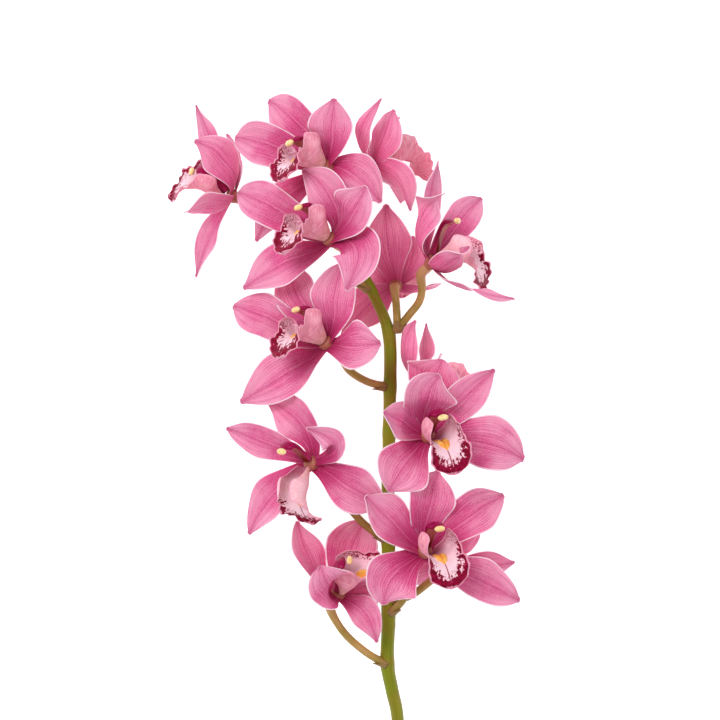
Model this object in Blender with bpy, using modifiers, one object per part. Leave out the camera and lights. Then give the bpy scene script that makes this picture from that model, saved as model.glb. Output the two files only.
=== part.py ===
"""A cut cymbidium orchid stem with thirteen open blooms, lying on a surface.

The stem lies along Y with its cut end towards -Y and its blooms facing away
from the surface, +Z up. The origin is on the surface, under the middle of the
whole stem's outline. A place is given as a pixel of the 720 x 720 photograph
that the shape follows, with a height above the surface in millimetres: a
camera straight above, CAMERA_HEIGHT up, sees that place at that pixel.
"""

import math
from typing import NamedTuple

import bmesh
import bpy
from mathutils import Matrix, Vector

MM = 0.001

# The view that the pixels belong to
CAMERA_HEIGHT = 1.400
FOCAL_PIXELS = 2200.0
PHOTO_MIDDLE = 360.0
CAMERA_X = 0.0110
CAMERA_Y = 0.0693

# Tepals: the three sepals and two petals of a bloom
TEPAL_THICKNESS = 0.8 * MM
TEPAL_CELLS_ALONG = 5
TEPAL_CELLS_ACROSS = 4
TEPAL_ROOT_WIDTH = 0.30
TEPAL_TIP_WIDTH = 0.09
TEPAL_WIDEST = 0.56
TEPAL_TAPER = 1.8
TEPAL_CREASE = 0.07
WHORL_OFFSET = 1.0 * MM
FLAT_ROOT = 0.5

# Hub: the flared top of the ovary that everything in a bloom grows from
HUB_FRONT_RADIUS = 5.4 * MM
HUB_BACK_RADIUS = 3.4 * MM
HUB_FRONT = 3.6 * MM
HUB_BACK = 4.5 * MM
HUB_SIDES = 6
SEAT_GAP = 0.3 * MM

# Lip, in its own plane: forward along the facing, then up along the bloom
LIP_THICKNESS = 0.8 * MM
LIP_CELLS_ALONG = 6
LIP_HINGE = (4.15, -3.0)
LIP_ROUTE = (LIP_HINGE, (13.0, -5.4), (20.0, -7.0), (25.6, -10.6), (29.0, -17.5), (29.6, -26.0))
LIP_COLUMNS = (-1.0, -0.68, -0.36, -0.15, 0.0, 0.15, 0.36, 0.68, 1.0)
LIP_HALF_WIDTHS = (6.6, 14.5, 24.0, 21.5, 14.5, 14.0, 12.0, 4.6)
LIP_CURLS = (80.0, 102.0, 122.0, 116.0, 62.0, 30.0, 8.0, -8.0)
LIP_WAVE = 1.2 * MM
CALLUS_HEIGHT = 1.3 * MM
CALLUS_COLUMN = 0.15

# Column and its anther cap, in the same plane as the lip
COLUMN_ROUTE = ((4.9, 2.4), (11.5, 5.2), (18.0, 8.2), (23.4, 8.9), (26.8, 6.6))
COLUMN_HALF_WIDTHS = (3.2, 3.7, 4.3, 5.0, 3.8)
COLUMN_HALF_DEPTHS = (2.6, 2.2, 2.2, 2.5, 2.0)
COLUMN_SIDES = 7
CAP_RADIUS = 2.7 * MM
CAP_SEGMENTS = 6
CAP_RINGS = 3

# Stem
TUBE_RESOLUTION = 1
PEDICEL_RADIUS = 2.4 * MM
OVARY_RADIUS = 3.0 * MM
PEDICEL_STEPS = 5
STEM_STEPS = 18
OVARY_LENGTH = 6.0 * MM
BRACT_LENGTH = 9.0 * MM
BRACT_WIDTH = 6.0 * MM
BRACT_TAPER = 0.85
BRACT_CURL = 0.5
BRACT_OFFSET = 0.5 * MM
BRACT_THICKNESS = 0.8 * MM

FLOOR_DEPTH = 40.0 * MM
FLOOR_SIZE = 0.6


class Tepal(NamedTuple):
    """One sepal or petal.

    Its middle and tip are pixel x, pixel y and mm above the bloom's centre. Its
    inner face looks the way that the bloom faces, or the way given.
    """

    kind: str
    middle: tuple
    tip: tuple
    width: float
    cup: float = 0.22
    inner: tuple = None


class Bloom(NamedTuple):
    """One flower: its centre, the way it faces, its lean round that, its lip's drop and fold."""

    name: str
    centre: tuple
    facing: tuple
    lean: float
    lip_drop: float
    tepals: tuple
    pedicel: tuple
    lip_fold: float = 1.0


STEM_ROUTE = (
    (401, 832, 3.2),
    (400, 775, 11),
    (397.5, 718, 24),
    (392, 690, 31),
    (387.2, 662, 37),
    (388.4, 620, 43),
    (388.4, 560, 45),
    (388, 491, 45),
    (389.7, 400, 45),
    (390, 345, 45),
    (385, 320, 45),
    (374, 296, 45),
    (361, 268, 45),
    (348, 232, 46),
    (338, 200, 48),
)
STEM_RADII = (3.4, 3.6, 3.9, 4.1, 4.2, 4.2, 4.1, 4.0, 3.9, 3.9, 3.5, 3.1, 2.9, 2.7, 2.4)

BLOOMS = (
    Bloom(
        name="a",
        centre=(232, 196, 30),
        facing=(-0.90, 0.38, 0.20),
        lean=-40,
        lip_drop=-14,
        tepals=(
            Tepal("sepal", middle=(240, 158, -2), tip=(226, 134, 2), width=24),
            Tepal("petal", middle=(223, 160, 20), tip=(194, 141, 26), width=25, inner=(-0.5, 0.1, -1)),
            Tepal("petal", middle=(214, 146, -16), tip=(196, 104, -18), width=20, inner=(-0.8, 0.2, 0.5)),
            Tepal("sepal", middle=(208, 206, 20), tip=(183, 213, 28), width=22),
            Tepal("sepal", middle=(214, 230, -20), tip=(196, 278, -29), width=22, inner=(-0.7, 0.2, 0.6)),
        ),
        pedicel=((340, 206, 47), (300, 216, 40), (266, 210, 34)),
    ),
    Bloom(
        name="b",
        centre=(326, 167, 68),
        facing=(-0.75, 0.29, 0.60),
        lean=15,
        lip_drop=-8,
        tepals=(
            Tepal("sepal", middle=(295, 122, -8), tip=(268, 101, -22), width=26, inner=(-0.5, 0.1, 0.8)),
            Tepal("petal", middle=(268, 145, -10), tip=(235, 138, -26), width=27, inner=(-0.5, 0.1, 0.8)),
            Tepal("petal", middle=(331, 130, 10), tip=(334, 98, 14), width=28, inner=(-0.2, 0.1, 1)),
            Tepal("sepal", middle=(284, 200, -14), tip=(256, 242, -24), width=24, inner=(-0.4, 0.1, 0.8)),
            Tepal("sepal", middle=(354, 174, 2), tip=(381, 203, -2), width=28, cup=0.1, inner=(0, 0, 1)),
        ),
        pedicel=((338, 202, 48), (342, 191, 54), (342, 180, 59)),
        lip_fold=0.9,
    ),
    Bloom(
        name="c",
        centre=(374, 165, 45),
        facing=(0.80, 0.35, -0.45),
        lean=0,
        lip_drop=-10,
        tepals=(
            Tepal("sepal", middle=(383, 138, 16), tip=(394, 109, 24), width=26),
            Tepal("petal", middle=(360, 137, 22), tip=(382, 98, 34), width=14),
            Tepal("petal", middle=(376, 138, -20), tip=(400, 117, -32), width=18),
            Tepal("sepal", middle=(396, 178, 12), tip=(410, 211, 8), width=27),
            Tepal("sepal", middle=(388, 182, -22), tip=(400, 203, -45), width=24),
        ),
        pedicel=((342, 214, 47), (352, 196, 52), (362, 178, 50)),
    ),
    Bloom(
        name="d",
        centre=(331, 240, 84),
        facing=(-0.70, 0.49, 0.52),
        lean=12,
        lip_drop=4,
        tepals=(
            Tepal("sepal", middle=(330, 198, 3), tip=(302, 170, -4), width=26, inner=(-0.4, 0.2, 0.8)),
            Tepal("petal", middle=(270, 206, -8), tip=(238, 193, -24), width=26, inner=(-0.5, 0.3, 0.8)),
            Tepal("petal", middle=(352, 213, 18), tip=(366, 186, 26), width=30, inner=(-0.3, 0.2, 0.9)),
            Tepal("sepal", middle=(288, 262, -8), tip=(243, 289, -18), width=29, inner=(-0.3, 0.3, 0.9)),
            Tepal("sepal", middle=(358, 250, 18), tip=(346, 291, 18), width=31, inner=(-0.3, 0.2, 0.9)),
        ),
        pedicel=((368, 290, 46), (356, 278, 50), (348, 262, 66)),
        lip_fold=0.9,
    ),
    Bloom(
        name="e",
        centre=(396, 285, 40),
        facing=(0.10, 0.30, -0.95),
        lean=0,
        lip_drop=-16,
        tepals=(
            Tepal("sepal", middle=(388, 246, 6), tip=(386, 204, 0), width=29),
            Tepal("petal", middle=(411, 261, -2), tip=(412, 236, -18), width=22),
            Tepal("petal", middle=(374, 266, -12), tip=(352, 250, -28), width=24),
            Tepal("sepal", middle=(420, 291, -4), tip=(441, 283, -24), width=16, inner=(0.1, 0.9, -0.3)),
            Tepal("sepal", middle=(370, 304, -10), tip=(342, 336, -20), width=26),
        ),
        pedicel=((397, 332, 46), (397, 318, 49), (396, 302, 50)),
    ),
    Bloom(
        name="f",
        centre=(432, 262, 60),
        facing=(0.63, 0.73, 0.27),
        lean=0,
        lip_drop=40,
        tepals=(
            Tepal("sepal", middle=(428, 210, -12), tip=(438, 160, -12), width=22),
            Tepal("petal", middle=(420, 222, 16), tip=(446, 193, 26), width=24),
            Tepal("petal", middle=(460, 221, -16), tip=(482, 198, -30), width=21),
            Tepal("sepal", middle=(446, 264, 26), tip=(470, 246, 34), width=18),
            Tepal("sepal", middle=(470, 289, 32), tip=(515, 299, 30), width=22, cup=0.05),
        ),
        pedicel=((397, 330, 46), (409, 315, 50), (419, 302, 52), (422, 289, 54)),
    ),
    Bloom(
        name="g",
        centre=(327, 344, 75),
        facing=(-0.68, 0.56, 0.47),
        lean=15,
        lip_drop=8,
        tepals=(
            Tepal("sepal", middle=(299, 299, -8), tip=(290, 262, -20), width=27, inner=(-0.4, 0.3, 0.8)),
            Tepal("petal", middle=(268, 318, -9), tip=(233, 306, -24), width=27, inner=(-0.4, 0.3, 0.8)),
            Tepal("petal", middle=(333, 301, 4), tip=(342, 262, -2), width=28, inner=(-0.1, 0.2, 1)),
            Tepal("sepal", middle=(288, 373, -6), tip=(240, 403, -12), width=31, inner=(-0.2, 0.2, 1)),
            Tepal("sepal", middle=(354, 346, 16), tip=(381, 343, 18), width=30, inner=(-0.2, 0.2, 1)),
        ),
        pedicel=((386, 387, 46), (366, 381, 50), (349, 370, 59)),
        lip_fold=0.9,
    ),
    Bloom(
        name="h",
        centre=(424, 392, 43),
        facing=(0.80, 0.20, -0.40),
        lean=0,
        lip_drop=-18,
        tepals=(
            Tepal("sepal", middle=(423, 356, -4), tip=(426, 323, -8), width=20),
            Tepal("petal", middle=(405, 356, 10), tip=(416, 320, 18), width=22),
            Tepal("petal", middle=(434, 374, -24), tip=(440, 354, -43), width=22),
            Tepal("sepal", middle=(448, 398, 18), tip=(480, 374, 14), width=22),
            Tepal("sepal", middle=(434, 378, 16), tip=(442, 359, 20), width=38, cup=0.1, inner=(0, 0.2, 1)),
        ),
        pedicel=((392, 432, 45), (400, 416, 47), (410, 400, 47)),
        lip_fold=1.1,
    ),
    Bloom(
        name="i",
        centre=(427, 436, 80),
        facing=(0.33, 0.24, 0.91),
        lean=8,
        lip_drop=8,
        tepals=(
            Tepal("sepal", middle=(427, 399, 10), tip=(440, 375, 14), width=34),
            Tepal("petal", middle=(402, 422, 14), tip=(383, 412, 24), width=24),
            Tepal("petal", middle=(460, 403, -6), tip=(495, 369, -14), width=23),
            Tepal("sepal", middle=(404, 466, 8), tip=(389, 492, 10), width=35),
            Tepal("sepal", middle=(484, 443, -6), tip=(524, 460, -18), width=35),
        ),
        pedicel=((391, 478, 46), (400, 464, 54), (414, 449, 63)),
        lip_fold=1.1,
    ),
    Bloom(
        name="j",
        centre=(312, 463, 73),
        facing=(-0.62, 0.10, 0.78),
        lean=-4,
        lip_drop=66,
        lip_fold=1.25,
        tepals=(
            Tepal("sepal", middle=(300, 423, -2), tip=(266, 401, -18), width=27),
            Tepal("petal", middle=(266, 443, -6), tip=(226, 428, -22), width=20),
            Tepal("petal", middle=(336, 446, 18), tip=(306, 428, 14), width=18),
            Tepal("sepal", middle=(274, 495, -17), tip=(249, 535, -24), width=27, cup=0.12),
            Tepal("sepal", middle=(350, 486, 6), tip=(386, 506, 4), width=30),
        ),
        pedicel=((386, 540, 46), (360, 520, 50), (332, 484, 58)),
    ),
    Bloom(
        name="k",
        centre=(424, 552, 80),
        facing=(0.33, 0.38, 0.86),
        lean=6,
        lip_drop=12,
        tepals=(
            Tepal("sepal", middle=(430, 503, 0), tip=(438, 471, -4), width=29),
            Tepal("petal", middle=(391, 522, 8), tip=(365, 496, 14), width=30),
            Tepal("petal", middle=(470, 516, -6), tip=(504, 495, -16), width=27),
            Tepal("sepal", middle=(393, 578, 8), tip=(384, 605, 10), width=35),
            Tepal("sepal", middle=(478, 580, -2), tip=(520, 601, -12), width=28),
        ),
        pedicel=((391, 613, 46), (404, 598, 54), (414, 572, 63)),
        lip_fold=1.05,
    ),
    Bloom(
        name="l",
        centre=(337, 595, 58),
        facing=(0.42, 0.72, 0.55),
        lean=60,
        lip_drop=0,
        tepals=(
            Tepal("sepal", middle=(309, 558, -8), tip=(297, 521, -18), width=24),
            Tepal("petal", middle=(350, 552, -16), tip=(364, 520, -28), width=32, inner=(0, 0.2, 1)),
            Tepal("petal", middle=(328, 584, 32), tip=(320, 566, 36), width=28, inner=(0, 0.3, 1)),
            Tepal("sepal", middle=(360, 594, -2), tip=(383, 589, -2), width=26, inner=(0, 0.2, 1)),
            Tepal("sepal", middle=(362, 610, 4), tip=(377, 643, 6), width=19, inner=(0, 0.2, 1)),
        ),
        pedicel=((386, 664, 39), (367, 653, 44), (348, 637, 48), (336, 621, 50)),
    ),
    Bloom(
        name="m",
        centre=(446, 560, 42),
        facing=(-0.30, 0.20, -0.93),
        lean=0,
        lip_drop=-15,
        tepals=(
            Tepal("sepal", middle=(450, 528, 2), tip=(453, 500, -6), width=24),
            Tepal("petal", middle=(466, 540, -2), tip=(479, 520, -10), width=19),
            Tepal("petal", middle=(424, 544, 2), tip=(404, 530, -6), width=22),
            Tepal("sepal", middle=(482, 566, 2), tip=(515, 562, 0), width=18),
            Tepal("sepal", middle=(418, 574, -6), tip=(396, 586, -20), width=22),
        ),
        pedicel=((390, 600, 45), (410, 596, 50), (432, 580, 50)),
    ),
)

PINK = (0.72, 0.20, 0.36, 1.0)
LIP_WHITE = (0.86, 0.62, 0.66, 1.0)
CRIMSON = (0.34, 0.02, 0.10, 1.0)
CREAM = (0.86, 0.78, 0.45, 1.0)
STEM_GREEN = (0.30, 0.33, 0.12, 1.0)


def at(place):
    """Point in space of a place given as pixel x, pixel y and millimetres above the surface."""
    pixel_x, pixel_y, height = place
    z = height * MM
    scale = (CAMERA_HEIGHT - z) / FOCAL_PIXELS
    x = CAMERA_X + (pixel_x - PHOTO_MIDDLE) * scale
    y = CAMERA_Y + (PHOTO_MIDDLE - pixel_y) * scale
    return Vector((x, y, z))


def make_material(name, colour, roughness):
    material = bpy.data.materials.new(name)
    material.use_nodes = True
    shader = material.node_tree.nodes["Principled BSDF"]
    shader.inputs["Base Color"].default_value = colour
    shader.inputs["Roughness"].default_value = roughness
    shader.inputs["Metallic"].default_value = 0.0
    return material


def new_object(name, mesh, collection, material=None):
    thing = bpy.data.objects.new(name, mesh)
    if material:
        mesh.materials.clear()
        mesh.materials.append(material)
    collection.objects.link(thing)
    return thing


def applied_mesh(thing):
    """The object's mesh with its modifiers applied."""
    depsgraph = bpy.context.evaluated_depsgraph_get()
    depsgraph.update()
    return bpy.data.meshes.new_from_object(thing.evaluated_get(depsgraph))


def remove_objects(things):
    for thing in things:
        bpy.data.objects.remove(thing)


def between(values, share):
    """Value at a share, 0 to 1, along a row of numbers, in straight steps."""
    place = share * (len(values) - 1)
    low = min(int(place), len(values) - 2)
    return values[low] + (values[low + 1] - values[low]) * (place - low)


def smooth_path(points, steps):
    """Evenly numbered points along a Catmull-Rom curve through the points."""
    ends = [points[0] * 2 - points[1], *points, points[-1] * 2 - points[-2]]
    spans = len(points) - 1
    path = []
    for step in range(steps + 1):
        place = step / steps * spans
        span = min(int(place), spans - 1)
        t = place - span
        before, start, end, after = ends[span:span + 4]
        curve = (
            start * 2
            + (end - before) * t
            + (before * 2 - start * 5 + end * 4 - after) * t ** 2
            + (start * 3 - before - end * 3 + after) * t ** 3
        )
        path.append(curve / 2)
    return path


def bent_sheet(name, columns, rows, shape, thickness, collection):
    """A sheet whose grid point (across -1 to 1, along 0 to 1) lies at shape(across, along)."""
    mesh = bpy.data.meshes.new(name)
    sheet = bmesh.new()
    bmesh.ops.create_grid(sheet, x_segments=columns, y_segments=rows, size=1.0)
    for vertex in sheet.verts:
        vertex.co = shape(vertex.co.x, (vertex.co.y + 1) / 2)
    bmesh.ops.triangulate(sheet, faces=sheet.faces[:], quad_method="FIXED")
    sheet.to_mesh(mesh)
    sheet.free()
    thing = new_object(name, mesh, collection)
    solidify = thing.modifiers.new("thickness", "SOLIDIFY")
    solidify.thickness = thickness
    solidify.offset = 0.0
    thing.data = applied_mesh(thing)
    thing.modifiers.clear()
    return thing


def fused(name, base, others, material, collection):
    """One object: the base with every object of the other collection joined to it.

    The blades meet at shallow angles, where the exact solver leaves edges that
    touch, so the manifold solver joins them.
    """
    union = base.modifiers.new("union", "BOOLEAN")
    union.operation = "UNION"
    union.operand_type = "COLLECTION"
    union.collection = others
    union.solver = "MANIFOLD"
    result = new_object(name, applied_mesh(base), collection, material)
    remove_objects([base, *others.objects])
    bpy.data.collections.remove(others)
    return result


def scratch_collection(name):
    collection = bpy.data.collections.new(name)
    bpy.context.scene.collection.children.link(collection)
    return collection


def bloom_frame(bloom):
    """Facing, up and right of a bloom, as unit vectors."""
    facing = Vector(bloom.facing).normalized()
    photo_up = Vector((0.0, 1.0, 0.0))
    up = (photo_up - facing * photo_up.dot(facing)).normalized()
    up = Matrix.Rotation(math.radians(bloom.lean), 3, facing) @ up
    return facing, up, up.cross(facing)


def in_plane(bloom, pair):
    """Point of the bloom's middle plane, from millimetres forward and up."""
    facing, up, _ = bloom_frame(bloom)
    return at(bloom.centre) + facing * pair[0] * MM + up * pair[1] * MM


def blade_width(share):
    """Half width of a tepal at a share of its length, against its widest."""
    if share < TEPAL_WIDEST:
        rise = share / TEPAL_WIDEST
        return TEPAL_ROOT_WIDTH + (1 - TEPAL_ROOT_WIDTH) * rise * rise * (3 - 2 * rise)
    fall = (share - TEPAL_WIDEST) / (1 - TEPAL_WIDEST)
    return max(1 - fall ** TEPAL_TAPER, TEPAL_TIP_WIDTH)


def tepal_shape(bloom, tepal):
    """Shape function of one tepal, from across and along to a point."""
    facing, _, _ = bloom_frame(bloom)
    height = bloom.centre[2]
    side = 1 if tepal.kind == "petal" else -1
    root = at(bloom.centre) + facing * side * WHORL_OFFSET
    middle = at((*tepal.middle[:2], height + tepal.middle[2]))
    tip = at((*tepal.tip[:2], height + tepal.tip[2]))
    half = tepal.width * MM / 2
    towards = Vector(tepal.inner).normalized() if tepal.inner else facing

    def shape(across, along):
        centre = (
            root * (1 - along) * (1 - 2 * along)
            + middle * 4 * along * (1 - along)
            + tip * along * (2 * along - 1)
        )
        forward = (centre - root).dot(facing)
        if forward > 0 and along < FLAT_ROOT:
            centre -= facing * forward * (1 - along / FLAT_ROOT)
        heading = (
            root * (4 * along - 3) + middle * (4 - 8 * along) + tip * (4 * along - 1)
        ).normalized()
        look = facing.lerp(towards, min(along / FLAT_ROOT, 1.0))
        inner = (look - heading * look.dot(heading)).normalized()
        sideways = heading.cross(inner)
        reach = half * blade_width(along)
        cup = tepal.cup * min(along / FLAT_ROOT, 1.0)
        lift = reach * (cup * across * across + TEPAL_CREASE * abs(across))
        return centre + sideways * across * reach + inner * lift

    return shape


def make_tepals(bloom, material, collection):
    """The bloom's five tepals on the small hub that they grow from."""
    facing, up, right = bloom_frame(bloom)
    blades = scratch_collection("blades")
    for number, tepal in enumerate(bloom.tepals):
        bent_sheet(
            f"blade_{number}",
            TEPAL_CELLS_ACROSS,
            TEPAL_CELLS_ALONG,
            tepal_shape(bloom, tepal),
            TEPAL_THICKNESS,
            blades,
        )
    mesh = bpy.data.meshes.new("hub")
    hub = bmesh.new()
    bmesh.ops.create_cone(
        hub,
        cap_ends=True,
        segments=HUB_SIDES,
        radius1=HUB_BACK_RADIUS,
        radius2=HUB_FRONT_RADIUS,
        depth=HUB_BACK + HUB_FRONT,
    )
    turn = Matrix((right, up, facing)).transposed()
    bmesh.ops.transform(hub, matrix=turn.to_4x4(), verts=hub.verts)
    middle = at(bloom.centre) + facing * (HUB_FRONT - HUB_BACK) / 2
    bmesh.ops.translate(hub, vec=middle, verts=hub.verts)
    hub.to_mesh(mesh)
    hub.free()
    base = new_object("hub", mesh, bpy.context.scene.collection)
    return fused(f"bloom_{bloom.name}_tepals", base, blades, material, collection)


def lip_shape(bloom):
    """Shape function of the lip: a trough with erect side lobes and a waved midlobe."""
    _, _, right = bloom_frame(bloom)
    hinge = in_plane(bloom, LIP_HINGE)
    drop = Matrix.Rotation(math.radians(bloom.lip_drop), 3, right)
    route = [in_plane(bloom, pair) for pair in LIP_ROUTE]
    route = [hinge + drop @ (point - hinge) for point in route]
    path = smooth_path(route, LIP_CELLS_ALONG)

    def shape(across, along):
        row = round(along * LIP_CELLS_ALONG)
        low = max(row - 1, 0)
        high = min(row + 1, LIP_CELLS_ALONG)
        heading = (path[high] - path[low]).normalized()
        inner = heading.cross(right)
        column = LIP_COLUMNS[round((across + 1) / 2 * (len(LIP_COLUMNS) - 1))]
        reach = between(LIP_HALF_WIDTHS, along) * MM
        curl = math.radians(between(LIP_CURLS, along)) * bloom.lip_fold
        radius = reach / curl
        sideways = radius * math.sin(curl * column)
        lift = radius * (1 - math.cos(curl * column))
        if abs(abs(column) - CALLUS_COLUMN) < 0.01 and 0 < row < LIP_CELLS_ALONG - 2:
            lift += CALLUS_HEIGHT
        if row >= LIP_CELLS_ALONG - 3:
            lift += LIP_WAVE * abs(column) * math.cos(row * math.pi)
        return path[row] + right * sideways + inner * lift

    return shape


def make_lip(bloom, material, collection):
    lip = bent_sheet(
        f"bloom_{bloom.name}_lip",
        len(LIP_COLUMNS) - 1,
        LIP_CELLS_ALONG,
        lip_shape(bloom),
        LIP_THICKNESS,
        collection,
    )
    lip.data.materials.append(material)
    return lip


def make_column(bloom, material, collection):
    """The arched column: a loft through oval sections along its route."""
    _, _, right = bloom_frame(bloom)
    route = [in_plane(bloom, pair) for pair in COLUMN_ROUTE]
    mesh = bpy.data.meshes.new("column")
    body = bmesh.new()
    rings = []
    for number, point in enumerate(route):
        low = max(number - 1, 0)
        high = min(number + 1, len(route) - 1)
        heading = (route[high] - route[low]).normalized()
        above = heading.cross(right)
        ring = []
        for side in range(COLUMN_SIDES):
            angle = math.tau * side / COLUMN_SIDES + math.pi / 2
            offset = right * math.cos(angle) * COLUMN_HALF_WIDTHS[number] * MM
            offset += above * math.sin(angle) * COLUMN_HALF_DEPTHS[number] * MM
            ring.append(body.verts.new(point + offset))
        rings.append(ring)
    for start, end in zip(rings, rings[1:]):
        for side in range(COLUMN_SIDES):
            after = (side + 1) % COLUMN_SIDES
            body.faces.new((start[side], start[after], end[after], end[side]))
    body.faces.new(rings[0])
    body.faces.new(rings[-1])
    bmesh.ops.recalc_face_normals(body, faces=body.faces[:])
    body.to_mesh(mesh)
    body.free()
    return new_object(f"bloom_{bloom.name}_column", mesh, collection, material)


def make_cap(bloom, material, collection):
    """The anther cap, a small ball just off the end of the column."""
    end = in_plane(bloom, COLUMN_ROUTE[-1])
    heading = (end - in_plane(bloom, COLUMN_ROUTE[-2])).normalized()
    mesh = bpy.data.meshes.new("cap")
    ball = bmesh.new()
    bmesh.ops.create_uvsphere(
        ball, u_segments=CAP_SEGMENTS, v_segments=CAP_RINGS, radius=CAP_RADIUS
    )
    bmesh.ops.translate(ball, vec=end + heading * (CAP_RADIUS + SEAT_GAP), verts=ball.verts)
    ball.to_mesh(mesh)
    ball.free()
    return new_object(f"bloom_{bloom.name}_anther_cap", mesh, collection, material)


def make_tube(name, path, radii, collection):
    """A closed tube along the path, as a mesh."""
    curve = bpy.data.curves.new(name, "CURVE")
    curve.dimensions = "3D"
    curve.bevel_depth = 1.0
    curve.bevel_resolution = TUBE_RESOLUTION
    curve.use_fill_caps = True
    spline = curve.splines.new("POLY")
    spline.points.add(len(path) - 1)
    for number, point in enumerate(path):
        spline.points[number].co = (*point, 1.0)
        spline.points[number].radius = between(radii, number / (len(path) - 1))
    guide = bpy.data.objects.new(name, curve)
    collection.objects.link(guide)
    mesh = applied_mesh(guide)
    remove_objects([guide])
    tube = bmesh.new()
    tube.from_mesh(mesh)
    bmesh.ops.remove_doubles(tube, verts=tube.verts, dist=0.01 * MM)
    bmesh.ops.recalc_face_normals(tube, faces=tube.faces[:])
    tube.to_mesh(mesh)
    tube.free()
    return new_object(name, mesh, collection)


def make_bract(bloom, collection):
    """The small dry scale at the foot of a pedicel."""
    foot = at(bloom.pedicel[0])
    heading = (at(bloom.pedicel[1]) - foot).normalized()
    stem_way = Vector((0.0, 1.0, 0.0))
    inner = (stem_way - heading * stem_way.dot(heading)).normalized()
    sideways = heading.cross(inner)

    def shape(across, along):
        reach = BRACT_WIDTH / 2 * (1 - BRACT_TAPER * along)
        back = inner * (reach * BRACT_CURL * across * across - PEDICEL_RADIUS - BRACT_OFFSET)
        return foot + heading * BRACT_LENGTH * along + sideways * across * reach + back

    return bent_sheet("bract", 2, 1, shape, BRACT_THICKNESS, collection)


def make_stem(material, collection):
    """The flower stem with the pedicels and bracts that grow from it, as one body."""
    branches = scratch_collection("branches")
    route = smooth_path([at(place) for place in STEM_ROUTE], STEM_STEPS)
    stem_radii = [radius * MM for radius in STEM_RADII]
    base = make_tube("stem_tube", route, stem_radii, bpy.context.scene.collection)
    for bloom in BLOOMS:
        facing, _, _ = bloom_frame(bloom)
        seat = at(bloom.centre) - facing * (HUB_BACK + SEAT_GAP)
        neck = seat - facing * OVARY_LENGTH
        route = [at(place) for place in bloom.pedicel]
        path = [*smooth_path([*route, neck], PEDICEL_STEPS - 1), seat]
        radii = (PEDICEL_RADIUS, PEDICEL_RADIUS, PEDICEL_RADIUS, OVARY_RADIUS, OVARY_RADIUS)
        make_tube(f"pedicel_{bloom.name}", path, radii, branches)
        make_bract(bloom, branches)
    return fused("stem", base, branches, material, collection)


def trim_to_surface(things, cutters):
    """Cuts what reaches below the surface off flat, so that the stem rests on it."""
    mesh = bpy.data.meshes.new("surface_cut")
    box = bmesh.new()
    bmesh.ops.create_cube(box, size=1.0)
    bmesh.ops.scale(box, vec=(FLOOR_SIZE, FLOOR_SIZE, FLOOR_DEPTH), verts=box.verts)
    bmesh.ops.translate(box, vec=(0.0, 0.0, -FLOOR_DEPTH / 2), verts=box.verts)
    box.to_mesh(mesh)
    box.free()
    cutter = new_object("surface_cut", mesh, cutters)
    cutter.hide_render = True
    cutter.display_type = "WIRE"
    for thing in things:
        if min(vertex.co.z for vertex in thing.data.vertices) < 0:
            cut = thing.modifiers.new("rest_flat", "BOOLEAN")
            cut.operation = "DIFFERENCE"
            cut.object = cutter


def main():
    for thing in list(bpy.data.objects):
        bpy.data.objects.remove(thing)
    parts = scratch_collection("cymbidium_orchid_stem")
    cutters = scratch_collection("cutters")
    pink = make_material("tepal_pink", PINK, 0.5)
    white = make_material("lip_white", LIP_WHITE, 0.45)
    crimson = make_material("column_crimson", CRIMSON, 0.4)
    cream = make_material("anther_cream", CREAM, 0.5)
    green = make_material("stem_green", STEM_GREEN, 0.5)
    things = [make_stem(green, parts)]
    for bloom in BLOOMS:
        things.append(make_tepals(bloom, pink, parts))
        things.append(make_lip(bloom, white, parts))
        things.append(make_column(bloom, crimson, parts))
        things.append(make_cap(bloom, cream, parts))
    trim_to_surface(things, cutters)


main()
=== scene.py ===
"""Looks of a cut cymbidium orchid stem that lies on a pale floor, seen from above."""

import math
from typing import NamedTuple

import bpy
import numpy as np
from mathutils import Matrix, Vector


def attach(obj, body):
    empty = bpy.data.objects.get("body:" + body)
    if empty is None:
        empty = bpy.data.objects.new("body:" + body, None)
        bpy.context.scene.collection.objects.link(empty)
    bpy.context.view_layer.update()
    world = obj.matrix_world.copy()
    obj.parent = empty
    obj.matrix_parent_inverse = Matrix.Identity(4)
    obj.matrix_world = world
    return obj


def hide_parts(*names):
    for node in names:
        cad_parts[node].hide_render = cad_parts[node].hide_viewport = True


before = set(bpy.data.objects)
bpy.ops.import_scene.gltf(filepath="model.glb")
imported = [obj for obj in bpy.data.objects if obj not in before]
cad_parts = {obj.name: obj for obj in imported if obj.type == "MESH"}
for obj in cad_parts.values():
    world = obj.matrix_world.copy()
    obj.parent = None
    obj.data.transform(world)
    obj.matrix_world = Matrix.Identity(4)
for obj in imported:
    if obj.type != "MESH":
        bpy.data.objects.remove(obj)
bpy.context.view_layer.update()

MM = 0.001

# Camera, which the pixels belong to, and the studio round it
CAMERA_HEIGHT = 1.400
CAMERA_X = 0.0110
CAMERA_Y = 0.0693
FOCAL_PIXELS = 2200.0
PHOTO_SIZE = 720
PHOTO_MIDDLE = 360.0
SENSOR_MM = 36.0
FLOOR_SIZE = 12.0
FLOOR_GLOW = 0.75
SKY_GLOW = 0.55
LIGHT_TARGET = (0.0, 0.0, 0.03)

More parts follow.
